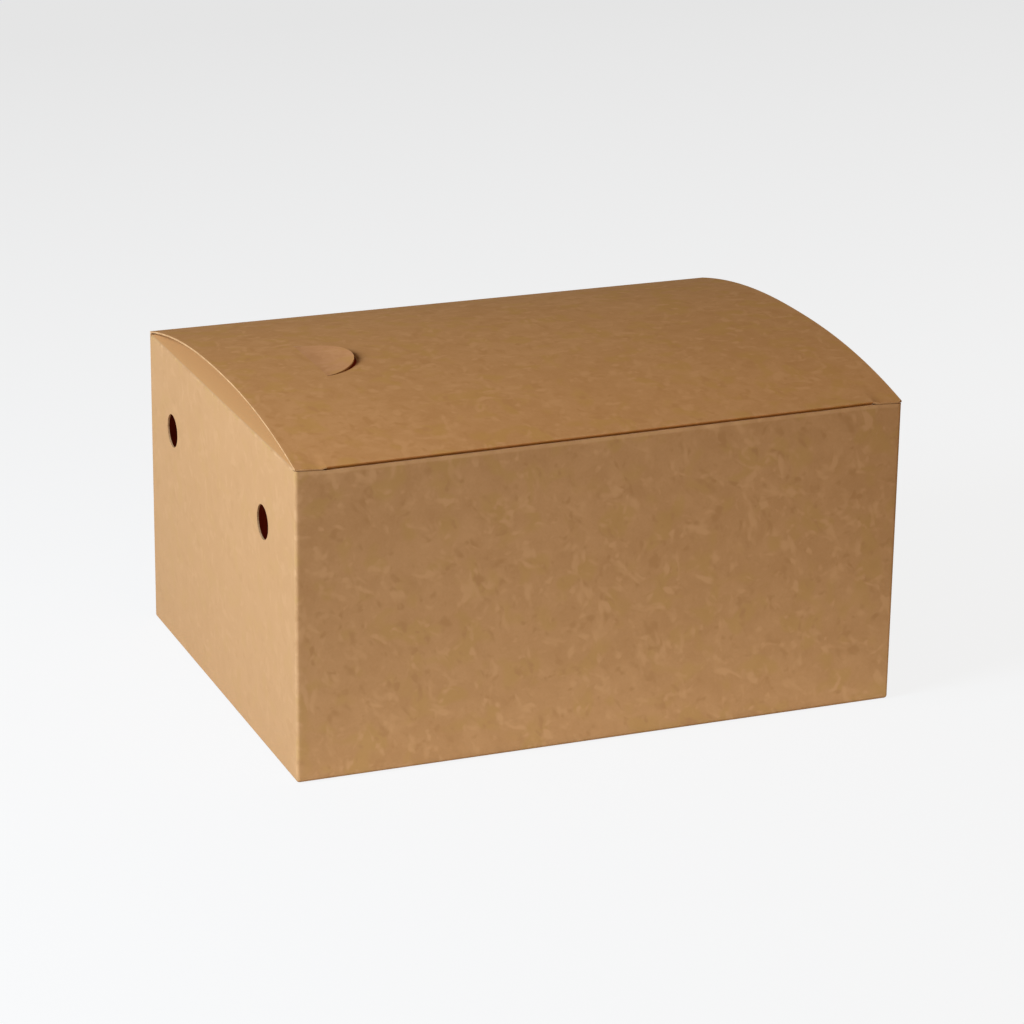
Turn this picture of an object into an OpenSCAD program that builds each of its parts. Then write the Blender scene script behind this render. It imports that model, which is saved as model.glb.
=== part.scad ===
// Snack box folded from one blank of kraft board, with an arched tuck-in lid.
// Millimetres. The origin is under the middle of the box, on the surface it stands on.
// +X runs along the length to the right, +Y to the hinged back wall, +Z up.

/* [Box] */
// Outer length of the box, left to right
box_length = 181; // [150:1:230]
// Outer depth of the box, front to back
box_depth = 137; // [120:1:170]
// Height of the four walls
wall_height = 90; // [75:1:120]
// Thickness of the board
board = 0.5; // [0.4:0.05:0.7]
// Outside radius of every folded crease
crease_radius = 0.9; // [0.8:0.05:1.4]

/* [Lid] */
// Height of the closed lid's arch above its front and back edges
lid_rise = 7.9; // [6:0.1:12]
// How flat the crown of the arch is: 2 is a parabola, more is flatter in the middle
crown_power = 2.25; // [2:0.05:3]
// Clearance between the closed lid and the wall edges below it
seat_clearance = 0.2; // [0.15:0.05:0.3]
// Length of the slit that parts each lid corner from the tuck flap
slit_length = 9; // [6:0.5:14]
// Width of the cut at each end of the tuck flap
slit_width = 0.3; // [0.2:0.05:0.5]
// Depth of the tuck flap behind the front wall
tuck_depth = 20; // [14:0.5:26]
// Radius of the tuck flap's lower corners
tuck_corner_radius = 9; // [4:0.5:12]
// Angle by which the tuck flap leans inwards
tuck_lean = 6; // [5.5:0.25:9]
// Clearance between the front wall and the fold above the tuck flap
tuck_clearance = 0.35; // [0.3:0.05:0.6]

/* [Dust flaps] */
// Reach of each dust flap from its end wall
dust_reach = 24; // [16:0.5:26]
// Slope of a dust flap at its crease, where it springs up under the lid
dust_slope = 24; // [12:1:28]
// Distance of a dust flap's crease from the front and the back of the box
dust_inset = 2.4; // [2.2:0.1:4]
// Clearance between a dust flap and the lid above it
dust_clearance = 0.4; // [0.3:0.05:0.8]

/* [Vents] */
// Diameter of the round vents in the end walls
vent_diameter = 10; // [6:0.5:14]
// Height of the vents' centres
vent_height = 66.5; // [40:0.5:68]
// Distance of the front vent's centre from the front of the box
vent_from_front = 28.5; // [20:0.5:40]
// Distance of the rear vent's centre from the back of the box
vent_from_back = 22.5; // [15:0.5:40]

/* [Steam tab] */
// Distance of the half-moon tab's crease from the left end of the lid
tab_crease_x = 27.5; // [26:0.5:40]
// Width of the tab along its crease
tab_width = 30; // [20:0.5:36]
// Reach of the tab from its crease to its round tip
tab_reach = 12.8; // [10:0.1:14]
// Width of the die cut round the tab
tab_kerf = 0.3; // [0.2:0.05:0.4]
// Angle at which the tab stands up from the lid at rest
tab_lift = 6; // [2:0.5:15]

/* [Bottom] */
// Reach of each end flap over the bottom panels
end_flap_reach = 44; // [30:1:60]
// Angle of an end flap's glued corners
end_flap_angle = 45; // [40:1:60]
// Distance of an end flap from the front and the back wall
end_flap_inset = 1.5; // [1:0.5:4]
// Width of the band where the front and back bottom panels lap each other
lap_width = 34; // [20:1:40]
// Sideways step of the seam between the bottom panels, half to the front and half to the back
seam_step = 16; // [8:1:18]
// Width of the seam between the bottom panels
seam_width = 0.35; // [0.2:0.05:0.5]

/* [Side seam] */
// Width of the glued flap inside the back wall
glue_flap_width = 15; // [10:0.5:20]
// Distance of the glued flap's ends from the bottom and from the top edge
glue_flap_inset = 3; // [2:0.5:6]

/* [Hidden] */

kraft = [0.72, 0.54, 0.35];
kraft_lid = [0.67, 0.50, 0.34];
kraft_tab = [0.75, 0.58, 0.41];

half_length = box_length / 2;
half_depth = box_depth / 2;
arch_steps = 48;
fold_steps = 10;
round_fn = 96;
// Reach of a cutting shape past the faces that it cuts
past = 5;

// The lid is drawn as a path of [y, z, angle]: a point of its outer face and the
// direction of the outward normal there, measured from +Y towards +Z.
edge_slope = atan(2 * crown_power * lid_rise / box_depth);
hinge_z = wall_height + seat_clearance;
// The arch leaves the rounded back crease at a tangent
back_y = half_depth - crease_radius * (1 - sin(edge_slope));
back_z = hinge_z + crease_radius * cos(edge_slope);
// Height of the arch's outer face at the back and at the front of the box
arch_back_z = back_z - (half_depth - back_y) * tan(edge_slope);
arch_front_z = wall_height + seat_clearance + board / cos(edge_slope);

// How far along the depth a point lies, from 0 at the front to 1 at the back
function share(y) = (y + half_depth) / box_depth;
function lid_z(y) = arch_front_z + (arch_back_z - arch_front_z) * share(y)
    + lid_rise * (1 - pow(abs(2 * share(y) - 1), crown_power));
function lid_slope(y) = atan((arch_back_z - arch_front_z - 2 * crown_power * lid_rise
    * pow(abs(2 * share(y) - 1), crown_power - 1) * sign(2 * share(y) - 1)) / box_depth);
function lid_point(y) = [y, lid_z(y), 90 + lid_slope(y)];
// The height of the lid's underside above a given depth
function under_lid(y) = lid_z(y) - board / cos(lid_slope(y));

// A bend of the given outside radius about a centre, from one normal angle to another
function bend(centre, radius, from, to) = [
    for (i = [0:fold_steps])
        let (a = from + (to - from) * i / fold_steps)
            [centre[0] + radius * cos(a), centre[1] + radius * sin(a), a]
];

// The outline of a sheet of board whose outer face follows a path
function sheet(path) = concat(
    [for (p = path) [p[0], p[1]]],
    [for (i = [len(path) - 1:-1:0])
        [path[i][0] - board * cos(path[i][2]), path[i][1] - board * sin(path[i][2])]]
);

// The fold above the tuck flap touches the arch's front slope and the tuck flap's face
front_normal = 90 + lid_slope(-half_depth);
tuck_normal = 180 + tuck_lean;
function facing(angle) = [cos(angle), sin(angle)];
arch_side = facing(front_normal) * [-half_depth, arch_front_z] - crease_radius;
tuck_side = facing(tuck_normal) * [-half_depth + board + tuck_clearance, wall_height]
    - crease_radius;
fold_turn = sin(tuck_normal - front_normal);
fold_centre = [
    (sin(tuck_normal) * arch_side - sin(front_normal) * tuck_side) / fold_turn,
    (cos(front_normal) * tuck_side - cos(tuck_normal) * arch_side) / fold_turn
];
fold_start_y = fold_centre[0] + crease_radius * cos(front_normal);
tuck_end = fold_centre + crease_radius * facing(tuck_normal)
    + tuck_depth * [sin(tuck_lean), -cos(tuck_lean)];

back_crease = bend([half_depth - crease_radius, hinge_z], crease_radius, 0, 90 - edge_slope);
arch = [for (i = [1:arch_steps]) lid_point(back_y + (fold_start_y - back_y) * i / arch_steps)];
corner_path = concat(back_crease, arch, [lid_point(-half_depth)]);
fold_path = concat(
    [arch[arch_steps - 2]],
    bend(fold_centre, crease_radius, front_normal, tuck_normal),
    [[tuck_end[0], tuck_end[1], tuck_normal]]
);

// A dust flap leaves its crease at dust_slope and bends level at its free edge
dust_radius = dust_reach / sin(dust_slope);
function dust_top(reach) =
    let (a = asin(sin(dust_slope) - reach / dust_radius))
        wall_height + dust_radius * (cos(a) - cos(dust_slope));
// Half the flap's width: as much as the arch is high enough for above the flap
function dust_half_width(reach) =
    let (
        rise = (dust_top(reach) + dust_clearance - under_lid(-half_depth)) / lid_rise,
        span = half_depth * pow(1 - min(0.95, max(0, rise)), 1 / crown_power)
    )
        min(half_depth - dust_inset, span);
dust_steps = 12;
dust_edge = [
    for (i = [0:dust_steps])
        let (reach = dust_reach * i / dust_steps)
            [reach, dust_half_width(reach)]
];
// The crease's bend touches the end wall's face and the flap's slope
dust_fold_centre = [
    crease_radius,
    wall_height - crease_radius * (1 - sin(dust_slope)) / cos(dust_slope)
];

module rounded_rectangle(length, depth, radius) {
    square([length, depth - 2 * radius], center = true);
    square([length - 2 * radius, depth], center = true);
    for (x = [-1, 1], y = [-1, 1])
        translate([x * (length / 2 - radius), y * (depth / 2 - radius)])
            circle(radius, $fn = round_fn);
}

// A profile that stands on its base line with its two lower corners rounded
module rounded_foot(width, height, radius) {
    translate([-width / 2, radius])
        square([width, height - radius]);
    translate([-width / 2 + radius, 0])
        square([width - 2 * radius, radius]);
    for (x = [-1, 1])
        translate([x * (width / 2 - radius), radius])
            circle(radius, $fn = round_fn);
}

// A block with rounded upright edges and rounded lower edges
module folded_block(length, depth, height, radius) {
    intersection() {
        linear_extrude(height)
            rounded_rectangle(length, depth, radius);
        rotate([90, 0, 0])
            linear_extrude(depth + 2 * past, center = true)
                rounded_foot(length, height, radius);
        rotate([90, 0, 90])
            linear_extrude(length + 2 * past, center = true)
                rounded_foot(depth, height, radius);
    }
}

module walls_and_bottom() {
    difference() {
        folded_block(box_length, box_depth, wall_height, crease_radius);
        translate([0, 0, board])
            folded_block(
                box_length - 2 * board,
                box_depth - 2 * board,
                wall_height,
                crease_radius - board
            );
        // The end walls stop where the dust flaps' creases begin
        for (side = [-1, 1])
            translate([side * half_length - past, -dust_edge[0][1], dust_fold_centre[1]])
                cube([2 * past, 2 * dust_edge[0][1], wall_height]);
        vents();
    }
}

module vents() {
    for (y = [-half_depth + vent_from_front, half_depth - vent_from_back])
        translate([0, y, vent_height])
            rotate([0, 90, 0])
                cylinder(h = box_length + 2 * past, d = vent_diameter, center = true, $fn = round_fn);
}

// The left dust flap's section in X and Z, from inside the top of its end wall
module dust_section() {
    crease = bend(dust_fold_centre, crease_radius, 180, 90 + dust_slope);
    start = crease[fold_steps];
    centre = [start[0] + dust_radius * sin(dust_slope), start[1] - dust_radius * cos(dust_slope)];
    last = asin(sin(dust_slope) - (dust_reach - start[0]) / dust_radius);
    polygon(sheet(concat(
        [[0, dust_fold_centre[1] - board, 180]],
        crease,
        bend(centre, dust_radius, 90 + dust_slope, 90 + last)
    )));
}

module dust_flap() {
    intersection() {
        translate([-half_length, 0, 0])
            rotate([90, 0, 0])
                linear_extrude(box_depth, center = true)
                    dust_section();
        translate([-half_length, 0, wall_height - past])
            linear_extrude(lid_rise + 2 * past)
                polygon(concat(
                    [[-past, dust_edge[0][1]]],
                    dust_edge,
                    [for (i = [dust_steps:-1:0]) [dust_edge[i][0], -dust_edge[i][1]]],
                    [[-past, -dust_edge[0][1]]]
                ));
    }
}

// The Z-shaped seam along which the two long bottom panels hook together
module bottom_seam() {
    half_step = seam_step / 2;
    half_width = seam_width / 2;
    reach = half_length - 2 * crease_radius;
    line = [[-reach, half_step], [-half_step, half_step], [half_step, -half_step], [reach, -half_step]];
    translate([0, 0, -past])
        linear_extrude(past + board)
            polygon(concat(
                [for (p = line) [p[0], p[1] + half_width]],
                [for (i = [len(line) - 1:-1:0]) [line[i][0], line[i][1] - half_width]]
            ));
}

// The second layer of board on the bottom: two end flaps and the lap of the long panels
module bottom_layer() {
    flap_half = half_depth - board - end_flap_inset;
    corner = min(end_flap_reach, flap_half - lap_width / 2) / tan(end_flap_angle);
    inner_half = half_length - board / 2;
    translate([0, 0, board / 2])
        linear_extrude(1.5 * board) {
            for (side = [-1, 1])
                polygon([
                    [side * inner_half, -flap_half],
                    [side * inner_half, flap_half],
                    [side * (inner_half - end_flap_reach), flap_half - corner],
                    [side * (inner_half - end_flap_reach), -flap_half + corner]
                ]);
            square([2 * inner_half - end_flap_reach, lap_width], center = true);
        }
}

module glue_flap() {
    height = wall_height - 2 * glue_flap_inset;
    translate([half_length - board / 2 - glue_flap_width, half_depth - 2 * board, glue_flap_inset])
        cube([glue_flap_width, 1.5 * board, height]);
}

module carton() {
    color(kraft)
        union() {
            difference() {
                union() {
                    walls_and_bottom();
                    bottom_layer();
                    glue_flap();
                }
                bottom_seam();
            }
            dust_flap();
            mirror([1, 0, 0])
                dust_flap();
        }
}

module along_length(path, from, to) {
    translate([from, 0, 0])
        rotate([90, 0, 90])
            linear_extrude(to - from)
                polygon(sheet(path));
}

fold_half = half_length - slit_length;

// The tuck flap's outline from the front, with its two lower corners rounded
module tuck_outline() {
    half = fold_half - slit_width;
    low = tuck_end[1] - board;
    radius = tuck_corner_radius;
    translate([-half, low + radius])
        square([2 * half, tuck_depth + lid_rise]);
    translate([-half + radius, low])
        square([2 * (half - radius), 2 * radius]);
    for (side = [-1, 1])
        translate([side * (half - radius), low + radius])
            circle(radius, $fn = round_fn);
}

// The fold along the lid's front between the slits, and the tuck flap below it
module tuck_flap() {
    intersection() {
        along_length(fold_path, -fold_half, fold_half);
        rotate([90, 0, 0])
            linear_extrude(box_depth + 2 * past, center = true)
                tuck_outline();
    }
}

// The half-moon in plan, its crease on the Y axis and its tip towards +X
module half_moon(width, reach) {
    radius = (width * width / 4 + reach * reach) / (2 * reach);
    intersection() {
        translate([reach - radius, 0])
            circle(radius, $fn = round_fn);
        translate([0, -width])
            square([reach + past, 2 * width]);
    }
}

tab_x = -half_length + tab_crease_x;

module lid() {
    color(kraft_lid)
        difference() {
            union() {
                difference() {
                    along_length(corner_path, -half_length, half_length);
                    translate([-fold_half, fold_start_y - past, hinge_z - past])
                        cube([2 * fold_half, past, lid_rise + 2 * past]);
                }
                tuck_flap();
            }
            translate([tab_x - tab_kerf / 2, 0, wall_height])
                linear_extrude(lid_rise + past)
                    half_moon(tab_width + 2 * tab_kerf, tab_reach + 2 * tab_kerf);
        }
}

module steam_tab() {
    lift_z = lid_z(0);
    color(kraft_tab)
        translate([tab_x, 0, lift_z])
            rotate([0, -tab_lift, 0])
                translate([-tab_x, 0, -lift_z])
                    intersection() {
                        along_length(corner_path, tab_x, half_length);
                        translate([tab_x + tab_kerf / 2, 0, wall_height])
                            linear_extrude(lid_rise + past)
                                half_moon(tab_width, tab_reach);
                    }
}

carton();
lid();
steam_tab();
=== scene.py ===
"""Looks of a closed snack box of kraft board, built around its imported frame.

Every sheet is drawn as the outer face of the board, in millimetres, and then gets its thickness inwards.
"""

import logging
import math
from dataclasses import dataclass
from enum import Enum, IntEnum
from typing import Callable, Iterable

import bmesh
import bpy
from bmesh.types import BMEdge, BMesh, BMFace, BMVert
from mathutils import Matrix, Vector


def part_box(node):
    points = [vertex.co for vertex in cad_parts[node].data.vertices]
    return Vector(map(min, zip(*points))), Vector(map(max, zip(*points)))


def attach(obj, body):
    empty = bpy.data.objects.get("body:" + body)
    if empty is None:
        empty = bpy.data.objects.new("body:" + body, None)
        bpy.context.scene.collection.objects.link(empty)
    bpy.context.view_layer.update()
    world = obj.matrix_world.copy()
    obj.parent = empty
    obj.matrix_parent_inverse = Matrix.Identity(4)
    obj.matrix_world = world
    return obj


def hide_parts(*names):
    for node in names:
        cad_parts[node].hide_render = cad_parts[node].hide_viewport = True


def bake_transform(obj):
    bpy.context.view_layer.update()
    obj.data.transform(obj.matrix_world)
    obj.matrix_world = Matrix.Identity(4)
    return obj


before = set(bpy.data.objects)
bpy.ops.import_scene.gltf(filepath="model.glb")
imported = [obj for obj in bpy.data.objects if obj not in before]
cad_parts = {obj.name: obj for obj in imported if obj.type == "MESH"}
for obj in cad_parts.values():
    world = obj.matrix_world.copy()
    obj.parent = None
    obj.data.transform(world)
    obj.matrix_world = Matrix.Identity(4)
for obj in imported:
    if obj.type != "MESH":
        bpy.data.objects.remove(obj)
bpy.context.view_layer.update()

LOG = logging.getLogger("snack_box")
MM = 0.001
# Marks where the board is drawn paler: partly rubbing, partly a painted highlight on creases, rims and edges.
WEAR_AND_HIGHLIGHT = "wear_and_highlight_mark"
CALM = "calm"
# Marks the dust flaps for a painted bounce light: a warmer, redder tint in place of light thrown back from
# the lid's underside.
PAINTED_BOUNCE = "painted_bounce_light"
SHARP_ANGLE = math.radians(40)
TOUCH = 1e-3
FLAT = 0.999
Point = tuple[float, float]
PointRule = Callable[[Vector], bool]
Colour = tuple[float, float, float]
Turn = tuple[float, float, float]


class Body(str, Enum):
    """The bodies of the frame."""

    CARTON = "carton"
    LID = "lid"
    STEAM_TAB = "steam_tab"


class Slot(str, Enum):
    """The record's material slots."""

    BOARD = "kraft_board"
    LID = "kraft_lid"
    TAB = "kraft_tab"


class Side(IntEnum):
    """The two ends of the box."""

    LEFT = -1
    RIGHT = 1


def linear(colour: Colour) -> tuple[float, float, float, float]:
    """Turns a colour as it is seen on a screen into the linear one that a shader takes.

    Args:
        colour: Red, green and blue from 0 to 255.

    Returns:
        Linear red, green, blue and a full alpha.
    """
    shares = [c / 255 for c in colour]
    curve = [s / 12.92 if s <= 0.04045 else ((s + 0.055) / 1.055) ** 2.4 for s in shares]
    return (curve[0], curve[1], curve[2], 1.0)


class Graph:
    """A material's or a world's node tree, with short ways to add and join its nodes."""

    def __init__(self, tree: bpy.types.NodeTree) -> None:
        """Empties the tree.

        Args:
            tree: The node tree to fill.
        """
        self.tree = tree
        tree.nodes.clear()

    def node(self, kind: str, settings: dict | None = None, **inputs: object) -> bpy.types.Node:
        """Adds a node.

        Args:
            kind: The node's type name.
            settings: Properties of the node itself.
            **inputs: Values or output sockets for its inputs, by the input's name with _ for a space.

        Returns:
            The new node.
        """
        made = self.tree.nodes.new(kind)
        for name, value in (settings or {}).items():
            setattr(made, name, value)
        for name, value in inputs.items():
            self.feed(made.inputs[name.replace("_", " ")], value)
        return made

    def feed(self, socket: bpy.types.NodeSocket, value: object) -> None:
        """Links an output to a socket, or writes a value on it.

        Args:
            socket: The input to fill.
            value: An output socket or a plain value.
        """
        if isinstance(value, bpy.types.NodeSocket):
            self.tree.links.new(value, socket)
        else:
            socket.default_value = value

    def math(self, operation: str, first: object, second: object = 0.0) -> bpy.types.NodeSocket:
        """Works out one sum or product.

        Args:
            operation: The Math node's operation.
            first: A number or a socket.
            second: A number or a socket.

        Returns:
            The result's socket.
        """
        made = self.tree.nodes.new("ShaderNodeMath")
        made.operation = operation
        self.feed(made.inputs[0], first)
        self.feed(made.inputs[1], second)
        return made.outputs[0]

    def blend(self, factor: object, first: object, second: object) -> bpy.types.NodeSocket:
        """Mixes two colours.

        Args:
            factor: The share of the second colour.
            first: A colour or a socket.
            second: A colour or a socket.

        Returns:
            The mixed colour's socket.
        """
        made = self.tree.nodes.new("ShaderNodeMix")
        made.data_type = "RGBA"
        self.feed(made.inputs["Factor"], factor)
        self.feed(made.inputs["A"], first)
        self.feed(made.inputs["B"], second)
        return made.outputs["Result"]

    def step(self, value: object, low: float, high: float) -> bpy.types.NodeSocket:
        """Turns a value smoothly into 0 below low and 1 above high.

        Args:
            value: The value's socket.
            low: Where the result begins to rise.
            high: Where it has risen to 1.

        Returns:
            The result's socket.
        """
        made = self.node("ShaderNodeMapRange", {"interpolation_type": "SMOOTHSTEP"}, Value=value)
        made.inputs["From Min"].default_value = low
        made.inputs["From Max"].default_value = high
        return made.outputs["Result"]

    def attribute(self, name: str) -> bpy.types.NodeSocket:
        """The number that the vertices carry under a name, or 0 where they carry none."""
        return self.node("ShaderNodeAttribute", {"attribute_name": name}).outputs["Fac"]

    def noise(self, vector: object, size_mm: float, detail: float, seed: float) -> bpy.types.NodeSocket:
        """A noise whose patches are about size_mm wide.

        Args:
            vector: The coordinates' socket, in metres.
            size_mm: Width of the patches.
            detail: How many finer layers lie in it.
            seed: A number that gives each noise a pattern of its own.

        Returns:
            The noise's value, around a half.
        """
        made = self.node("ShaderNodeTexNoise", {"noise_dimensions": "4D"}, Vector=vector, W=seed)
        made.inputs["Scale"].default_value = 1 / (size_mm * MM)
        made.inputs["Detail"].default_value = detail
        made.inputs["Roughness"].default_value = 0.55
        return made.outputs[0]

    def mapping(self, vector: object, turn: Vector, stretch: Vector) -> bpy.types.NodeSocket:
        """Turns coordinates by degrees and stretches the pattern on them.

        Args:
            vector: The coordinates' socket.
            turn: Angles about X, Y and Z in degrees.
            stretch: How many times longer the pattern gets along each turned axis.

        Returns:
            The new coordinates' socket.
        """
        turned = self.node("ShaderNodeMapping", Vector=vector)
        turned.inputs["Rotation"].default_value = [math.radians(a) for a in turn]
        scaled = self.node("ShaderNodeMapping", Vector=turned.outputs[0])
        scaled.inputs["Scale"].default_value = [1 / s for s in stretch]
        return scaled.outputs[0]

    def matt(self, colour: object, roughness: float, gloss: float) -> bpy.types.Node:
        """Ends a material's graph in a matt surface.

        Args:
            colour: The colour's socket.
            roughness: The surface's roughness.
            gloss: How much it reflects.

        Returns:
            The surface's shader.
        """
        shader = self.node("ShaderNodeBsdfPrincipled", Base_Color=colour, Roughness=roughness)
        shader.inputs["Specular IOR Level"].default_value = gloss
        out = self.node("ShaderNodeOutputMaterial")
        self.feed(out.inputs["Surface"], shader.outputs[0])
        return shader


def new_material(name: str) -> tuple[bpy.types.Material, Graph]:
    """Makes a material with an empty graph.

    Args:
        name: The material's name.

    Returns:
        The material and its graph.
    """
    made = bpy.data.materials.new(name)
    made.use_nodes = True
    return made, Graph(made.node_tree)


def add_object(name: str, data: bpy.types.ID) -> bpy.types.Object:
    """Adds an object to the scene, at the origin.

    Args:
        name: The object's name.
        data: Its mesh, lamp or lens.

    Returns:
        The object.
    """
    made = bpy.data.objects.new(name, data)
    bpy.context.scene.collection.objects.link(made)
    return made


def heading(azimuth: float, elevation: float) -> Vector:
    """The direction from the box to a place round it, in degrees from straight in front and from level."""
    az, el = math.radians(azimuth), math.radians(elevation)
    return Vector((math.sin(az) * math.cos(el), -math.cos(az) * math.cos(el), math.sin(el)))


@dataclass(frozen=True)
class KraftFinish:
    """Uncoated kraft board: a faint mottle, short pale and dark fibres, olive patches and a soft nap, with
    paler creases and rims that are partly rubbing and partly a painted highlight, and a painted bounce light
    on the dust flaps.

    Sizes are in millimetres. Changes of colour are steps on the screen's scale from 0 to 255, and covers
    are the two noise values between which a pattern sets in.
    """

    name: str
    base: Colour
    seed: float = 0.0
    spread: float = 5.5
    tone_cover: tuple[float, float] = (0.25, 0.75)
    cloud_size: float = 45.0
    cloud_share: float = 0.35
    mottle_size: float = 6.0
    mottle_share: float = 0.7
    nap_size: float = 0.7
    nap_share: float = 0.3
    fibre_size: float = 3.4
    fibre_detail: float = 1.5
    fibre_stretch: float = 2.0
    fibre_cover: tuple[float, float] = (0.58, 0.74)
    pale_fibre: float = 10.0
    pale_turns: tuple[Turn, ...] = ((8, 14, 0), (0, 62, 25), (85, -20, 60))
    pale_seeds: tuple[float, ...] = (3, 4, 7)
    dark_fibre: float = 9.0
    dark_turns: tuple[Turn, ...] = ((20, 35, 10), (75, 10, 40))
    dark_seeds: tuple[float, ...] = (5, 9)
    olive: Colour = (-4.0, 1.0, -13.0)
    olive_size: float = 8.0
    olive_cover: tuple[float, float] = (0.5, 0.66)
    olive_share: float = 0.5
    # Paler tone on the marked creases and rims: partly rubbing, partly a painted highlight.
    rubbed_and_highlight: Colour = (26.0, 27.0, 26.0)
    rubbed_size: float = 4.0
    rubbed_least: float = 0.5
    rubbed_more: float = 0.6
    # Painted bounce light: the warmer tint of the dust flaps under the lid.
    painted_bounce_tint: Colour = (9.0, 1.0, -8.0)
    warp_size: float = 14.0
    warp_reach: float = 6.0
    roughness: float = 0.72
    gloss: float = 0.025
    bump: float = 0.3
    bump_height: float = 0.05
    mottle_height: float = 1.5

    def shade(self, *steps: float) -> tuple[float, float, float, float]:
        """The base colour, made paler or darker.

        Args:
            *steps: What is added to its screen values: one for all, or one each for red, green and blue.

        Returns:
            The linear colour.
        """
        each = steps if len(steps) == len(self.base) else steps * len(self.base)
        return linear(tuple(c + s for c, s in zip(self.base, each)))

    def material(self) -> bpy.types.Material:
        """Builds the finish's material.

        Returns:
            The material.
        """
        made, g = new_material(self.name)
        place = g.node("ShaderNodeTexCoord").outputs["Object"]
        warped = self.warped(g, place)
        clouds = g.noise(place, self.cloud_size, 2, self.seed)
        mottle = g.noise(warped, self.mottle_size, 3, self.seed + 1)
        nap = g.noise(warped, self.nap_size, 2, self.seed + 2)
        tone: object = 0.5
        for noise, share in ((clouds, self.cloud_share), (mottle, self.mottle_share), (nap, self.nap_share)):
            tone = g.math("ADD", tone, g.math("MULTIPLY", g.math("SUBTRACT", noise, 0.5), share))
        kraft = g.blend(g.step(tone, *self.tone_cover), self.shade(-self.spread), self.shade(self.spread))
        patches = g.step(g.noise(warped, self.olive_size, 1, self.seed + 8), *self.olive_cover)
        kraft = g.blend(g.math("MULTIPLY", patches, self.olive_share), kraft, self.shade(*self.olive))
        for turn, seed in zip(self.dark_turns, self.dark_seeds):
            kraft = g.blend(self.fibres(g, warped, turn, seed), kraft, self.shade(-self.dark_fibre))
        for turn, seed in zip(self.pale_turns, self.pale_seeds):
            kraft = g.blend(self.fibres(g, warped, turn, seed), kraft, self.shade(self.pale_fibre))
        kraft = g.blend(g.attribute(CALM), kraft, self.shade(0.0))
        # Painted bounce light on the dust flaps under the lid.
        kraft = g.blend(g.attribute(PAINTED_BOUNCE), kraft, self.shade(*self.painted_bounce_tint))
        # Paler creases and rims: partly rubbing, partly a painted highlight.
        kraft = g.blend(self.wear_and_highlight(g, warped), kraft, self.shade(*self.rubbed_and_highlight))
        shader = g.matt(kraft, self.roughness, self.gloss)
        height = g.math("ADD", nap, g.math("MULTIPLY", mottle, self.mottle_height))
        bump = g.node("ShaderNodeBump", Strength=self.bump, Distance=self.bump_height * MM, Height=height)
        g.feed(shader.inputs["Normal"], bump.outputs[0])
        return made

    def warped(self, g: Graph, place: bpy.types.NodeSocket) -> bpy.types.NodeSocket:
        """Coordinates bent by a few millimetres, so that no streak runs straight.

        Args:
            g: The material's graph.
            place: The coordinates' socket.

        Returns:
            The bent coordinates' socket.
        """
        bend = g.node("ShaderNodeTexNoise", Vector=place)
        bend.inputs["Scale"].default_value = 1 / (self.warp_size * MM)
        shift = g.node("ShaderNodeVectorMath", {"operation": "MULTIPLY_ADD"})
        g.feed(shift.inputs[0], bend.outputs[1])
        shift.inputs[1].default_value = [self.warp_reach * MM] * 3
        g.feed(shift.inputs[2], place)
        return shift.outputs[0]

    def fibres(self, g: Graph, place: bpy.types.NodeSocket, turn: Turn, seed: float) -> bpy.types.NodeSocket:
        """A mask of short soft strokes that lie along one direction.

        Args:
            g: The material's graph.
            place: The coordinates' socket.
            turn: The strokes' direction, as angles about X, Y and Z.
            seed: The strokes' own number, which is added to the finish's seed.

        Returns:
            The mask's socket, from 0 to 1.
        """
        drawn = g.mapping(place, turn, (1, 1, self.fibre_stretch))
        strokes = g.noise(drawn, self.fibre_size, self.fibre_detail, self.seed + seed)
        return g.step(strokes, *self.fibre_cover)

    def wear_and_highlight(self, g: Graph, place: bpy.types.NodeSocket) -> bpy.types.NodeSocket:
        """A mask of the creases and cut edges, where the surface is drawn paler: partly by rubbing, partly as
        a painted highlight.

        Args:
            g: The material's graph.
            place: The coordinates' socket.

        Returns:
            The mask's socket.
        """
        patches = g.step(g.noise(place, self.rubbed_size, 2, self.seed + 6), *self.tone_cover)
        share = g.math("ADD", g.math("MULTIPLY", patches, self.rubbed_more), self.rubbed_least)
        return g.math("MULTIPLY", g.attribute(WEAR_AND_HIGHLIGHT), share)


@dataclass(frozen=True)
class EdgeFinish:
    """The pale cut edge of the board, with its layers along the cut."""

    name: str = "cut_edge"
    pale: Colour = (196, 157, 115)
    deep: Colour = (172, 132, 92)
    layer_size: float = 0.8
    layer_stretch: tuple[float, float, float] = (6, 6, 1)
    layer_cover: tuple[float, float] = (0.3, 0.7)
    seed: float = 2.0
    roughness: float = 0.8
    gloss: float = 0.025

    def material(self) -> bpy.types.Material:
        """Builds the finish's material.

        Returns:
            The material.
        """
        made, g = new_material(self.name)
        place = g.node("ShaderNodeTexCoord").outputs["Object"]
        layers = g.noise(g.mapping(place, (0, 0, 0), self.layer_stretch), self.layer_size, 3, self.seed)
        colour = g.blend(g.step(layers, *self.layer_cover), linear(self.deep), linear(self.pale))
        g.matt(colour, self.roughness, self.gloss)
        return made


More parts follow.
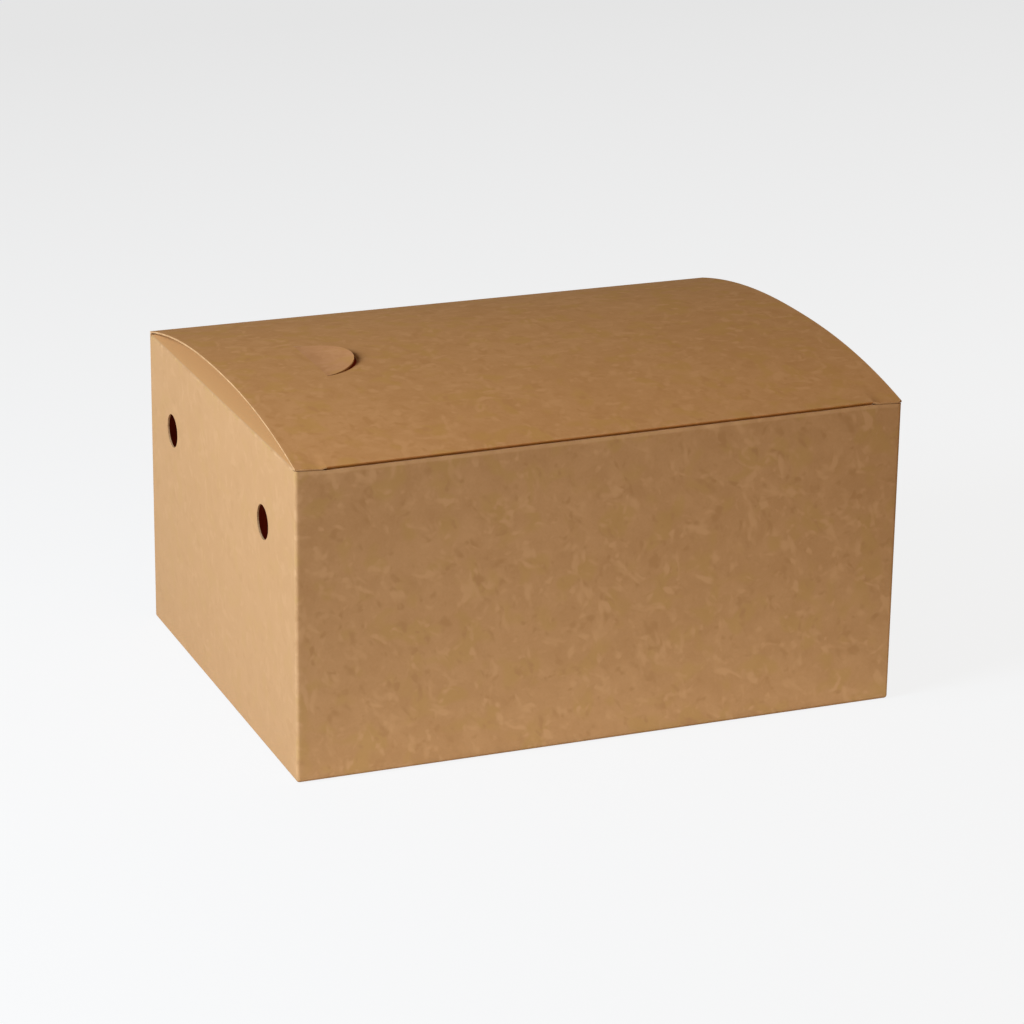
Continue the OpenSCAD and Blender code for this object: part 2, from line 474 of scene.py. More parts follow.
@dataclass(frozen=True)
class Board:
    """Sizes of the folded blank that all its panels share, in millimetres."""

    length: float
    depth: float
    wall_height: float = 90.0
    thickness: float = 0.5
    crease_radius: float = 0.9
    crease_segments: int = 6
    seat_clearance: float = 0.2
    crease_root: float = 1.0
    ear_length: float = 9.0
    rim_slant: float = 0.5

    def slant(self, x: float) -> float:
        """How far the front rim rises at a place along it: down at its left slit, up at its right one.

        Args:
            x: Place along the length.

        Returns:
            The rise in millimetres.
        """
        reach = self.half_length - self.ear_length
        if abs(x) <= reach:
            return self.rim_slant * x / reach
        back = max(0.0, (self.half_length - abs(x)) / self.ear_length)
        return math.copysign(self.rim_slant * back, x)

    @property
    def half_length(self) -> float:
        """Half the outer length."""
        return self.length / 2

    @property
    def half_depth(self) -> float:
        """Half the outer depth."""
        return self.depth / 2

    @property
    def hinge_z(self) -> float:
        """Height at which the lid's back crease begins to bend."""
        return self.wall_height + self.seat_clearance

    @property
    def crease_root_z(self) -> float:
        """Height at which the back wall hands over to the back crease."""
        return self.hinge_z - self.crease_root


@dataclass(frozen=True)
class Arch:
    """The closed lid's section in Y and Z."""

    board: Board
    rise: float = 7.9
    power: float = 2.25

    @property
    def edge_slope(self) -> float:
        """Slope of the arch at its front and back edges, in radians."""
        return math.atan(2 * self.power * self.rise / self.board.depth)

    @property
    def back_point(self) -> Point:
        """Where the arch leaves the rounded back crease."""
        radius = self.board.crease_radius
        y = self.board.half_depth - radius * (1 - math.sin(self.edge_slope))
        return y, self.board.hinge_z + radius * math.cos(self.edge_slope)

    @property
    def front_z(self) -> float:
        """Height of the arch's outer face at the front of the box."""
        return self.board.hinge_z + self.board.thickness / math.cos(self.edge_slope)

    @property
    def back_z(self) -> float:
        """Height that the arch's outer face would have at the very back of the box."""
        y, z = self.back_point
        return z - (self.board.half_depth - y) * math.tan(self.edge_slope)

    def height(self, y: float) -> float:
        """Height of the outer face at a depth.

        Args:
            y: Depth in millimetres.

        Returns:
            The height in millimetres.
        """
        share = (y + self.board.half_depth) / self.board.depth
        level = self.front_z + (self.back_z - self.front_z) * share
        return level + self.rise * (1 - abs(2 * share - 1) ** self.power)

    def underside(self, y: float) -> float:
        """Height of the inner face at a depth near the front or back edge."""
        return self.height(y) - self.board.thickness / math.cos(self.edge_slope)


def arc(centre: Point, radius: float, start: float, end: float, steps: int) -> list[Point]:
    """Points along a circular bend, without its first one.

    Args:
        centre: The bend's centre.
        radius: Its radius.
        start: Angle of the outward normal where it begins, in degrees.
        end: Angle of the outward normal where it ends, in degrees.
        steps: Number of steps.

    Returns:
        The points.
    """
    angles = [math.radians(start + (end - start) * i / steps) for i in range(1, steps + 1)]
    return [(centre[0] + radius * math.cos(a), centre[1] + radius * math.sin(a)) for a in angles]


def cut(bm: BMesh, faces: Iterable[BMFace], point: Vector, normal: Vector) -> None:
    """Scores faces along a plane without parting them.

    Args:
        bm: The mesh.
        faces: The faces to score.
        point: A point of the plane.
        normal: The plane's normal.
    """
    chosen = list(faces)
    edges = dict.fromkeys(e for f in chosen for e in f.edges)
    verts = dict.fromkeys(v for f in chosen for v in f.verts)
    geom = [*chosen, *edges, *verts]
    bmesh.ops.bisect_plane(bm, geom=geom, dist=TOUCH / 10, plane_co=point, plane_no=normal)


def middle(item: BMFace | BMEdge) -> Vector:
    """The middle of a face or an edge."""
    return sum((v.co for v in item.verts), Vector()) / len(item.verts)


def drop(bm: BMesh, rule: PointRule) -> None:
    """Deletes the faces whose middle meets a rule.

    Args:
        bm: The mesh.
        rule: Says of a face's middle whether the face goes.
    """
    bmesh.ops.delete(bm, geom=[f for f in bm.faces if rule(middle(f))], context="FACES")


def open_edges(bm: BMesh, rule: PointRule) -> list[BMEdge]:
    """The open edges of which both ends meet a rule.

    Args:
        bm: The mesh.
        rule: Says of a point whether it counts.

    Returns:
        The edges.
    """
    return [e for e in bm.edges if e.is_boundary and all(rule(v.co) for v in e.verts)]


def draw_out(bm: BMesh, edges: list[BMEdge], move: Callable[[Vector], Vector]) -> list[BMEdge]:
    """Extrudes edges once.

    Args:
        bm: The mesh.
        edges: The edges to extrude.
        move: Gives a new vertex's place from the old one's.

    Returns:
        The new outer edges.
    """
    geom = bmesh.ops.extrude_edge_only(bm, edges=edges)["geom"]
    for vert in (g for g in geom if isinstance(g, BMVert)):
        vert.co = move(vert.co)
    return [g for g in geom if isinstance(g, BMEdge)]


def hole(bm: BMesh, rim: list[BMEdge], inside: PointRule) -> None:
    """Opens a hole with a given rim in the middle of a patch of faces.

    Args:
        bm: The mesh.
        rim: The closed loop of edges that bounds the hole.
        inside: Says of a face's middle whether the face belongs to the patch.
    """
    before = {e for e in bm.edges if e.is_boundary}
    drop(bm, inside)
    patch = [e for e in bm.edges if e.is_boundary and e not in before and e not in rim]
    bmesh.ops.bridge_loops(bm, edges=patch + rim)


def face_out(bm: BMesh, away_from: Vector) -> None:
    """Makes all faces of a sheet agree, and point away from a point in the box.

    Args:
        bm: The sheet.
        away_from: The point that its faces turn their backs on.
    """
    bmesh.ops.recalc_face_normals(bm, faces=bm.faces)
    bm.normal_update()
    outward = sum((middle(f) - away_from).dot(f.normal) * f.calc_area() for f in bm.faces)
    if outward < 0:
        bmesh.ops.reverse_faces(bm, faces=bm.faces)


@dataclass
class Dresser:
    """Turns sheets into finished pieces of board."""

    board: Board
    edge: bpy.types.Material
    inner: bpy.types.Material

    def piece(
        self,
        name: str,
        bm: BMesh,
        outer: bpy.types.Material,
        slot: Slot,
        inwards: bool = True,
    ) -> bpy.types.Object:
        """Gives a sheet its thickness and its finishes.

        Args:
            name: The piece's name.
            bm: The sheet in millimetres, its faces outwards. It is freed.
            outer: Finish of its outer face.
            slot: The record's slot for the piece; not used.
            inwards: Whether the thickness lies behind the faces.

        Returns:
            The piece, in metres, with its object at the origin.
        """
        for face in bm.faces:
            face.smooth = True
        bmesh.ops.scale(bm, vec=[MM] * 3, verts=bm.verts)
        mesh = bpy.data.meshes.new(name)
        bm.to_mesh(mesh)
        bm.free()
        for material in (outer, self.inner, self.edge):
            mesh.materials.append(material)
        made = add_object(name, mesh)
        shell = made.modifiers.new("board", "SOLIDIFY")
        shell.thickness = self.board.thickness * MM
        shell.offset = -1 if inwards else 1
        shell.use_even_offset = True
        shell.material_offset = 1
        shell.material_offset_rim = 2
        self.bake(made)
        LOG.info("%s: %d faces", name, len(made.data.polygons))
        return made

    def bake(self, piece: bpy.types.Object) -> None:
        """Applies a piece's modifiers and marks its sharp edges.

        Args:
            piece: The piece to finish.
        """
        depsgraph = bpy.context.evaluated_depsgraph_get()
        mesh = bpy.data.meshes.new_from_object(piece.evaluated_get(depsgraph))
        old, mesh.name = piece.data, piece.name
        piece.modifiers.clear()
        piece.data = mesh
        bpy.data.meshes.remove(old)
        mesh.set_sharp_from_angle(angle=SHARP_ANGLE)


def mark(bm: BMesh, name: str, share: Callable[[Vector], float]) -> None:
    """Writes a number from 0 to 1 on each vertex, for the finishes to read.

    Args:
        bm: The mesh, in millimetres.
        name: What the number says: how pale the board is drawn from rubbing and painted highlight, how calm
            its pattern is, or how much painted bounce light it gets.
        share: Gives a vertex's number from its place.
    """
    layer = bm.verts.layers.float.new(name)
    for vert in bm.verts:
        vert[layer] = share(vert.co)


@dataclass
class Carton:
    """The box's walls, its dust flaps, its bottom and the glued side seam."""

    board: Board
    arch: Arch
    vent_diameter: float = 10.0
    vent_height: float = 66.5
    vent_from_front: float = 28.5
    vent_from_back: float = 22.5
    vent_patch: float = 15.0
    vent_segments: int = 48
    dust_reach: float = 24.0
    dust_slope: float = 24.0
    dust_inset: float = 1.7
    dust_clearance: float = 0.15
    dust_steps: int = 16
    dust_fill: float = 0.95
    rub_width: float = 0.6
    rim_width: float = 1.3
    rim_wear_and_highlight_part: float = 0.75
    # Paler top rims and upright creases: partly rubbing, partly a painted highlight where a rounded edge
    # catches the light.
    rim_wear_and_highlight: float = 0.5
    upright_wear_and_highlight: float = 0.12
    foot_wear: float = 0.08
    end_calm: float = 0.65
    corner_gap: float = 0.15
    corner_reach: float = 0.6
    corner_rise: float = 0.1
    seam_step: float = 16.0
    seam_width: float = 0.35
    end_flap_reach: float = 44.0
    end_flap_inset: float = 1.5
    lap_width: float = 34.0
    glue_flap_width: float = 15.0
    glue_flap_inset: float = 3.0
    glue_flap_corner: float = 2.5

    def build(self, dresser: Dresser, outer: bpy.types.Material) -> list[bpy.types.Object]:
        """Builds all the carton's pieces and sets them on the carton's body.

        Args:
            dresser: Gives the sheets their thickness.
            outer: Finish of the outer face.

        Returns:
            The pieces.
        """
        pieces = [
            dresser.piece("carton_walls", self.walls(), outer, Slot.BOARD),
            dresser.piece("bottom_lining", self.lining(), dresser.inner, Slot.BOARD),
            dresser.piece("side_seam_flap", self.seam_flap(), dresser.inner, Slot.BOARD),
        ]
        for piece in pieces:
            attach(piece, Body.CARTON.value)
            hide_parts("carton")
        return pieces

    @property
    def dust_root_z(self) -> float:
        """Height at which an end wall bends into its dust flap."""
        slope = math.radians(self.dust_slope)
        return self.board.wall_height - self.board.crease_radius * (1 - math.sin(slope)) / math.cos(slope)

    @property
    def dust_radius(self) -> float:
        """Radius of the dust flap's own gentle curve."""
        return self.dust_reach / math.sin(math.radians(self.dust_slope))

    def dust_half_width(self, reach: float) -> float:
        """Half the dust flap's width, as much as the arch leaves room for.

        Args:
            reach: Distance from the end wall.

        Returns:
            Half the width in millimetres.
        """
        slope = math.radians(self.dust_slope)
        angle = math.asin(math.sin(slope) - reach / self.dust_radius)
        top = self.board.wall_height + self.dust_radius * (math.cos(angle) - math.cos(slope))
        rise = (top + self.dust_clearance - self.arch.underside(-self.board.half_depth)) / self.arch.rise
        span = self.board.half_depth * (1 - min(self.dust_fill, max(0.0, rise))) ** (1 / self.arch.power)
        return min(self.board.half_depth - self.dust_inset, span)

    def walls(self) -> BMesh:
        """The four walls, the creases, the dust flaps and the outer bottom panels as one sheet.

        Returns:
            The sheet.
        """
        b = self.board
        bm = bmesh.new()
        bmesh.ops.create_cube(bm, size=1.0)
        bmesh.ops.scale(bm, vec=(b.length, b.depth, b.wall_height), verts=bm.verts)
        bmesh.ops.translate(bm, vec=(0, 0, b.wall_height / 2), verts=bm.verts)
        creases = [e for e in bm.edges if middle(e).z < b.wall_height - TOUCH]
        bmesh.ops.bevel(
            bm,
            geom=creases,
            offset=b.crease_radius,
            offset_type="OFFSET",
            segments=b.crease_segments,
            profile=0.5,
            affect="EDGES",
            material=-1,
        )
        bm.normal_update()
        ends = [f for f in bm.faces if abs(f.normal.z) > FLAT]
        bmesh.ops.delete(bm, geom=ends, context="FACES")
        self.score_walls(bm)
        self.slant_rim(bm)
        self.bottom_panels(bm)
        self.open_vents(bm)
        self.fold_dust_flaps(bm)
        face_out(bm, Vector((0, 0, b.wall_height / 2)))
        mark(bm, WEAR_AND_HIGHLIGHT, self.wear_and_highlight)
        mark(bm, CALM, lambda p: self.end_calm if self.is_end(p) else 0.0)
        # Painted bounce light: the dust flaps under the lid get a warmer tint.
        flap_start = b.half_length - b.crease_radius / 2
        mark(bm, PAINTED_BOUNCE, lambda p: 1.0 if self.is_end(p) and abs(p.x) < flap_start else 0.0)
        return bm

    def is_end(self, p: Vector) -> bool:
        """Whether a point lies on an end wall or its dust flap."""
        on_flap = p.z > self.board.wall_height - TOUCH and abs(p.y) < self.dust_half_width(0)
        return on_flap or abs(p.x) > self.board.half_length - TOUCH

    def score_walls(self, bm: BMesh) -> None:
        """Lays the lines along which the walls are rubbed, cut and folded.

        Args:
            bm: The carton's sheet, in millimetres.
        """
        b = self.board
        rubbed_and_highlight = b.crease_radius + self.rub_width

        def facing(axis: int) -> list[BMFace]:
            """The faces that look along an axis."""
            bm.normal_update()
            return [f for f in bm.faces if abs(f.normal[axis]) > FLAT]

        for side in Side:
            cut(bm, facing(1), Vector((side * (b.half_length - rubbed_and_highlight), 0, 0)), Vector((1, 0, 0)))
            cut(bm, facing(0), Vector((0, side * (b.half_depth - rubbed_and_highlight), 0)), Vector((0, 1, 0)))
            cut(bm, facing(0), Vector((0, side * self.dust_half_width(0), 0)), Vector((0, 1, 0)))
        for z in (b.wall_height - self.rim_width, b.crease_root_z, b.wall_height - self.rim_width / 2):
            cut(bm, facing(1), Vector((0, 0, z)), Vector((0, 0, 1)))
        for z in (self.dust_root_z, self.dust_root_z - self.rub_width):
            cut(bm, facing(0), Vector((0, 0, z)), Vector((0, 0, 1)))
        half = self.vent_patch / 2
        for y in self.vent_places():
            for edge in (-half, half):
                cut(bm, facing(0), Vector((0, y + edge, 0)), Vector((0, 1, 0)))
        for edge in (-half, half):
            cut(bm, facing(0), Vector((0, 0, self.vent_height + edge)), Vector((0, 0, 1)))

    def slant_rim(self, bm: BMesh) -> None:
        """Lets the front wall's top rim follow its slightly slanting cut, and closes the rear corners.

        Args:
            bm: The carton's sheet, in millimetres.
        """
        b = self.board
        for side in Side:
            slit = Vector((side * (b.half_length - b.ear_length), 0, 0))
            cut(bm, [f for f in bm.faces if f.normal.y < -FLAT], slit, Vector((1, 0, 0)))
            bm.normal_update()
        for vert in bm.verts:
            if vert.co.y < TOUCH - b.half_depth and vert.co.z > b.wall_height - self.rim_width - TOUCH:
                vert.co.z += b.slant(vert.co.x)
            elif vert.co.y > self.dust_half_width(0) - TOUCH and vert.co.z > b.wall_height - TOUCH:
                vert.co.z = self.corner_top(vert.co.y)

    def corner_top(self, y: float) -> float:
        """Height of an end wall's rear corner, which closes the gap up to the lid's underside.

        Args:
            y: Depth of the place in the corner.

        Returns:
            The height in millimetres.
        """
        if y > self.board.half_depth - self.corner_reach:
            return self.board.wall_height + self.corner_rise
        return self.arch.underside(y) - self.corner_gap

    def vent_places(self) -> tuple[float, float]:
        """Depths of the two vents' centres."""
        half = self.board.half_depth
        return (-half + self.vent_from_front, half - self.vent_from_back)

    def open_vents(self, bm: BMesh) -> None:
        """Punches the round vents in both end walls.

        Args:
            bm: The carton's sheet, in millimetres.
        """
        half = self.vent_patch / 2
        for side in Side:
            for y in self.vent_places():
                centre = Vector((side * self.board.half_length, y, self.vent_height))

                def in_patch(p: Vector, c: Vector = centre) -> bool:
                    """Whether a point lies on the patch of wall round the vent."""
                    return (p - c).length < half and abs(p.x - c.x) < TOUCH

                patch = next(f for f in bm.faces if in_patch(middle(f)))
                bmesh.ops.subdivide_edges(bm, edges=list(patch.edges), cuts=self.vent_segments // 4 - 1)
                turn = Matrix.Translation(centre) @ Matrix.Rotation(math.pi / 2, 4, "Y")
                radius = self.vent_diameter / 2
                punch = bmesh.ops.create_circle(bm, segments=self.vent_segments, radius=radius, matrix=turn)
                rim = dict.fromkeys(e for v in punch["verts"] for e in v.link_edges)
                hole(bm, list(rim), in_patch)

    def fold_dust_flaps(self, bm: BMesh) -> None:
        """Trims the end walls to their top creases and draws the dust flaps out of them.

        Args:
            bm: The carton's sheet, in millimetres.
        """
        b = self.board
        half = self.dust_half_width(0)
        root = self.dust_root_z
        drop(bm, lambda p: abs(p.x) > b.half_length - TOUCH and abs(p.y) < half and p.z > root)
        slope = self.dust_slope
        bend = arc((b.crease_radius, root), b.crease_radius, 180, 90 + slope, b.crease_segments)
        start = bend[-1]
        lean = math.radians(slope)
        centre = (start[0] + self.dust_radius * math.sin(lean), start[1] - self.dust_radius * math.cos(lean))
        last = math.degrees(math.asin(math.sin(lean) - (self.dust_reach - start[0]) / self.dust_radius))
        path = bend + arc(centre, self.dust_radius, 90 + slope, 90 + last, self.dust_steps)
        for side in Side:

            def at_root(p: Vector, side: int = side) -> bool:
                """Whether a point lies on the wall's line where its dust flap begins."""
                on_wall = side * p.x > b.half_length - TOUCH and abs(p.y) < half + TOUCH
                return on_wall and abs(p.z - root) < TOUCH

            edges = open_edges(bm, at_root)
            width = half
            for reach, z in path:
                wide = self.dust_half_width(reach)

                def move(p: Vector, r: float = reach, z: float = z, narrow: float = wide / width) -> Vector:
                    """The next point along the flap."""
                    return Vector((side * (b.half_length - r), p.y * narrow, z))

                edges = draw_out(bm, edges, move)
                width = wide

    def bottom_panels(self, bm: BMesh) -> None:
        """Draws the two long bottom panels out to the stepped seam where they hook together.

        Args:
            bm: The carton's sheet, in millimetres.
        """
        b = self.board
        half_step = self.seam_step / 2
        for way in (-1, 1):
            crease_y = way * (b.half_depth - b.crease_radius)
            root = open_edges(bm, lambda p: p.z < TOUCH and abs(p.y - crease_y) < TOUCH)
            gap = way * self.seam_width / 2
            rim = draw_out(bm, root, lambda p: Vector((p.x, gap - math.copysign(half_step, p.x), 0)))
            split = bmesh.ops.subdivide_edges(bm, edges=rim, cuts=2)["geom_inner"]
            corners = sorted((g for g in split if isinstance(g, BMVert)), key=lambda v: v.co.x)
            for corner, side in zip(corners, Side):
                corner.co = Vector((side * half_step, gap - side * half_step, 0))

    def wear_and_highlight(self, p: Vector) -> float:
        """How pale the walls are drawn at a point, from rubbing and a painted highlight: most on the free top
        rims, a little along the creases.

        Args:
            p: The point.

        Returns:
            The paleness from 0 to 1.
        """
        b = self.board
        near_x = abs(p.x) > b.half_length - b.crease_radius - TOUCH
        near_y = abs(p.y) > b.half_depth - b.crease_radius - TOUCH
        if near_x and near_y:
            return self.upright_wear_and_highlight
        rim_z = b.wall_height + (b.slant(p.x) if p.y < 0 else 0.0)
        if near_y and p.z > rim_z - self.rim_wear_and_highlight_part * self.rim_width:
            return self.rim_wear_and_highlight
        return self.foot_wear if p.z < b.crease_radius + TOUCH and (near_x or near_y) else 0.0

    def lining(self) -> BMesh:
        """The second layer of board on the bottom: both end flaps and the lap of the long panels.

        Returns:
            The sheet.
        """
        b = self.board
        wall = b.half_length - b.thickness
        tip = b.half_length - b.thickness / 2 - self.end_flap_reach
        flap_half = b.half_depth - b.thickness - self.end_flap_inset
        lap = self.lap_width / 2
        corner = flap_half - min(self.end_flap_reach, flap_half - lap)
        quarter = ((wall, flap_half), (tip, corner), (tip, lap), (0, lap), (0, 0), (wall, 0))
        bm = bmesh.new()
        bm.faces.new([bm.verts.new((x, y, 2 * b.thickness)) for x, y in quarter])
        for axis in ("X", "Y"):
            geom = [*bm.verts, *bm.edges, *bm.faces]
            bmesh.ops.mirror(bm, geom=geom, axis=axis, merge_dist=TOUCH)
        bmesh.ops.remove_doubles(bm, verts=bm.verts, dist=TOUCH)
        face_out(bm, Vector())
        return bm

    def seam_flap(self) -> BMesh:
        """The glued flap inside the back wall, at its right end.

        Returns:
            The sheet.
        """
        b = self.board
        right = b.half_length - b.thickness
        left = b.half_length - b.thickness / 2 - self.glue_flap_width
        low, high = self.glue_flap_inset, b.wall_height - self.glue_flap_inset
        y = b.half_depth - 2 * b.thickness
        bm = bmesh.new()
        corners = ((left, low), (right, low), (right, high), (left, high))
        bm.faces.new([bm.verts.new((x, y, z)) for x, z in corners])
        bmesh.ops.bevel(
            bm,
            geom=[v for v in bm.verts if v.co.x < right - TOUCH],
            offset=self.glue_flap_corner,
            segments=1,
            profile=0.5,
            affect="VERTICES",
            material=-1,
        )
        face_out(bm, Vector((left, b.half_depth, 0)))
        return bm


@dataclass
class Lid:
    """The arched lid panel with its corner ears, the fold along its front and the tuck flap."""

    board: Board
    arch: Arch
    tuck_depth: float = 20.0
    tuck_corner_radius: float = 9.0
    tuck_lean: float = 6.0
    segments: tuple[int, int] = (60, 56)
    slit_gap: float = 0.1
    ear_lift: tuple[float, float] = (-0.02, 0.02)
    ear_dip: float = -0.16
    corner_trim: tuple[float, float] = (0.1, 0.6)
    side_trim: float = 0.04
    ear_turn: float = 1.6
    front_root: float = 11.0
    fold_inset: float = 0.08
    fold_lift: float = 0.23
    foot_inset: float = 0.95
    foot_rise: float = 0.05
    corner_steps: int = 6
    rub_width: float = 0.7
    # Paler end edges and back crease: partly rubbing, partly a painted highlight.
    side_wear_and_highlight: float = 0.3
    crease_wear_and_highlight: float = 0.1
    crease_step: float = 0.5
    blend_start: float = 0.1

    def build(self, dresser: Dresser, outer: bpy.types.Material, tab: "SteamTab") -> list[bpy.types.Object]:
        """Builds the lid and the crease that joins it to the back wall.

        Args:
            dresser: Gives the sheets their thickness.
            outer: Finish of the outer face.
            tab: The tab whose hole the lid holds.

        Returns:
            The pieces.
        """
        lid = dresser.piece("lid_panel", self.panel(tab), outer, Slot.LID)
        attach(lid, Body.LID.value)
        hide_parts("lid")
        crease = dresser.piece("back_crease", self.back_crease(), outer, Slot.LID)
        end = Vector((0, *self.arch.back_point)) * MM
        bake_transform(crease)
        return [lid, crease]

    @property
    def half(self) -> float:
        """Half the lid's own length, a little less than the box's."""
        return self.board.half_length - self.side_trim

    @property
    def fold_y(self) -> float:
        """Depth of the fold along the lid's front."""
        return self.fold_inset - self.board.half_depth

    @property
    def fold_half(self) -> float:
        """Half the length of the fold between the two slits."""
        return self.board.half_length - self.board.ear_length

    def panel(self, tab: "SteamTab") -> BMesh:
        """The lid's sheet: a plan that is cut flat, then arched and folded.

        Args:
            tab: The tab whose hole is cut.

        Returns:
            The sheet.
        """
        b = self.board
        back_y = self.arch.back_point[0]
        bm = bmesh.new()
        bmesh.ops.create_grid(bm, x_segments=self.segments[0], y_segments=self.segments[1], size=0.5)
        bmesh.ops.scale(bm, vec=(2 * self.half, back_y + b.half_depth, 1), verts=bm.verts)
        bmesh.ops.translate(bm, vec=(0, (back_y - b.half_depth) / 2, 0), verts=bm.verts)
        for side in Side:
            for x in self.scores():
                cut(bm, bm.faces, Vector((side * x, 0, 0)), Vector((1, 0, 0)))
        cut(bm, bm.faces, Vector((0, self.fold_y, 0)), Vector((0, 1, 0)))
        drop(bm, lambda p: abs(p.x) < self.fold_half and p.y < self.fold_y)
        tab.cut_hole(bm)
        for vert in bm.verts:
            vert.co.z = self.arch.height(vert.co.y) + self.lift(vert.co)
        for vert in bm.verts:
            if self.half - abs(vert.co.x) < TOUCH and vert.co.y < TOUCH - b.half_depth:
                trim = self.corner_trim[0 if vert.co.x < 0 else 1]
                vert.co += Vector((-math.copysign(trim, vert.co.x), trim, 0))
        self.fold_tuck(bm)
        face_out(bm, Vector((0, 0, b.wall_height / 2)))
        mark(bm, WEAR_AND_HIGHLIGHT, self.wear_and_highlight)
        return bm

    @property
    def tuck_half(self) -> float:
        """Half the tuck flap's width."""
        return self.fold_half - self.slit_gap

    def scores(self) -> list[float]:
        """Distances from the middle at which the lid is scored from front to back."""
        round_start = self.tuck_half - self.tuck_corner_radius
        turns = [math.pi / 2 * i / self.corner_steps for i in range(self.corner_steps + 1)]
        corner = [round_start + self.tuck_corner_radius * math.sin(t) for t in turns]
        ear = (self.fold_half, self.fold_half + self.ear_turn, self.board.half_length - self.rub_width)
        return [*corner, *ear]

    def lift(self, p: Vector) -> float:
        """How far the front edge springs up from the arch: the fold evenly, the ears at their corners.

        Args:
            p: A point of the lid's flat plan.

        Returns:
            The rise in millimetres.
        """
        b = self.board
        across = (-b.half_depth + self.front_root - p.y) / self.front_root
        if across <= 0:
            return 0.0
        return (b.slant(p.x) + self.spring(p.x)) * across**2

    def spring(self, x: float) -> float:
        """How far the front edge stands off its rim at a place along it.

        Args:
            x: Place along the length.

        Returns:
            The gap in millimetres.
        """
        beyond = abs(x) - self.fold_half
        if beyond <= 0:
            return self.fold_lift
        turned = min(1.0, beyond / self.ear_turn)
        along = max(0.0, beyond - self.ear_turn) / (self.board.ear_length - self.ear_turn)
        tip = self.ear_lift[0 if x < 0 else 1]
        level = self.ear_dip + (tip - self.ear_dip) * along
        return self.fold_lift + (level - self.fold_lift) * turned

    def tuck_reach(self, x: float) -> float:
        """How far down the tuck flap reaches at a place along the lid.

        Args:
            x: Place along the length.

        Returns:
            The reach in millimetres.
        """
        radius = self.tuck_corner_radius
        beyond = min(radius, max(0.0, abs(x) - (self.tuck_half - radius)))
        return self.tuck_depth - radius + math.sqrt(radius**2 - beyond**2)

    def fold_tuck(self, bm: BMesh) -> None:
        """Folds the front edge back under itself and draws the tuck flap down, its lower corners round.

        Args:
            bm: The lid's sheet.
        """
        front = open_edges(bm, lambda p: abs(p.x) < self.tuck_half + TOUCH and abs(p.y - self.fold_y) < TOUCH)
        lean = math.radians(self.tuck_lean)
        down = Vector((0, math.sin(lean), -math.cos(lean)))
        half_way = self.tuck_depth / 2
        b = self.board
        foot_y, foot_z = self.foot_inset - b.half_depth, b.wall_height + self.foot_rise
        edges = draw_out(bm, front, lambda p: Vector((p.x, foot_y, foot_z + b.slant(p.x))))
        edges = draw_out(bm, edges, lambda p: p + down * half_way)
        draw_out(bm, edges, lambda p: p + down * (self.tuck_reach(p.x) - half_way))

    def wear_and_highlight(self, p: Vector) -> float:
        """How pale the lid is drawn at a point, from rubbing and a painted highlight: a little along its two
        end edges.
        """
        return self.side_wear_and_highlight if abs(p.x) > self.half - TOUCH else 0.0

    def back_crease(self) -> BMesh:
        """The crease that carries the lid, from the back wall round to the arch.

        Returns:
            The sheet.
        """
        b = self.board
        wall_half = b.half_length - b.crease_radius
        bm = bmesh.new()
        ends = [bm.verts.new((x, b.half_depth, b.crease_root_z)) for x in (-wall_half, wall_half)]
        edges = [bm.edges.new(ends)]
        bend = arc(
            (b.half_depth - b.crease_radius, b.hinge_z),
            b.crease_radius,
            0,
            90 - math.degrees(self.arch.edge_slope),
            b.crease_segments,
        )
        path = [(b.half_depth, b.crease_root_z + self.crease_step), (b.half_depth, b.hinge_z), *bend]
        for count, (y, z) in enumerate(path, start=1):
            half = wall_half + b.crease_radius * count / len(path)
            edges = draw_out(bm, edges, lambda p: Vector((math.copysign(half, p.x), y, z)))
        face_out(bm, Vector((0, 0, b.wall_height / 2)))
        mark(bm, WEAR_AND_HIGHLIGHT, lambda p: self.crease_wear_and_highlight)
        return bm


